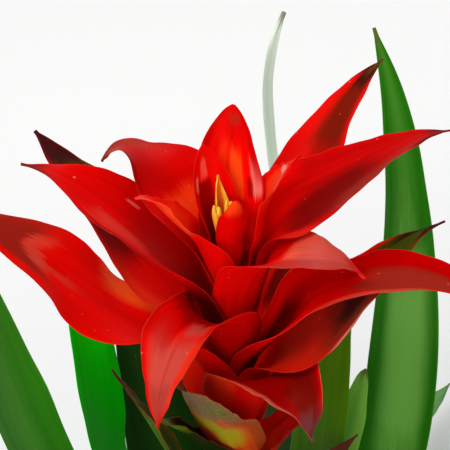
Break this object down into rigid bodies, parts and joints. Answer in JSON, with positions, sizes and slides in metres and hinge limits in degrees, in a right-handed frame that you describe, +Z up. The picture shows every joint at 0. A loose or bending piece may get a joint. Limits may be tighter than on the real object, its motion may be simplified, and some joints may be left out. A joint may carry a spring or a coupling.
{
  "type": "guzmania plant in flower",
  "caption": "Rosette of arching green strap leaves with an upright stalk that ends in a star of glossy red bracts round small yellow flowers.",
  "frame": {"origin": "middle of the flat cut at the foot of the stem, on the surface that the plant stands on", "axes": "+Z up along the stalk, -Y towards the side from which the star of bracts looks best"},
  "size_m": [0.5675, 0.5516, 0.3589],
  "materials": {
    "red_bract": "waxy satin gloss, fine lengthwise veins",
    "stalk_bract": "satin, olive to purple brown with a fine pale scurf",
    "leaf": "satin, fine lengthwise veins",
    "flower": "soft satin",
    "stalk": "matt, pale at the cut"
  },
  "bodies": {
    "root": {"bract_heart": "red_bract", "bract_inner_left": "red_bract", "bract_crest": "red_bract", "bract_inner_right": "red_bract", "bract_small_left": "red_bract", "bract_back_left": "red_bract", "bract_right": "red_bract", "bract_right_low": "red_bract", "bract_back_right": "red_bract", "bract_left": "red_bract", "bract_front_left": "red_bract", "bract_right_long": "red_bract", "bract_left_rear": "red_bract", "bract_left_low": "red_bract", "bract_right_rear": "red_bract", "bract_front_right": "red_bract", "bract_front_low": "red_bract", "bract_rear_low_left": "red_bract", "bract_rear_low_right": "red_bract", "stalk_bract_olive": "stalk_bract", "stalk_bract_russet": "stalk_bract", "stalk_bract_green_rear": "stalk_bract", "stalk_bract_green_left": "stalk_bract", "stalk_bract_green_front": "stalk_bract", "stalk_bract_green_right": "stalk_bract", "leaf_rear_right": "leaf", "leaf_left_mid": "leaf", "leaf_front_left_up": "leaf", "leaf_rear_right_short": "leaf", "leaf_rear_left": "leaf", "leaf_front_right_up": "leaf", "leaf_left_tall": "leaf", "leaf_right_out": "leaf", "leaf_rear_thin": "leaf", "leaf_right_tall": "leaf", "leaf_front": "leaf", "leaf_left_out": "leaf", "leaf_front_right": "leaf", "leaf_low_front_left": "leaf", "leaf_low_right": "leaf", "leaf_low_left": "leaf", "leaf_low_front": "leaf", "leaf_low_rear": "leaf", "flower_left": "flower", "flower_right": "flower", "flower_hood": "flower", "stalk": "stalk"}
  },
  "joints": []
}
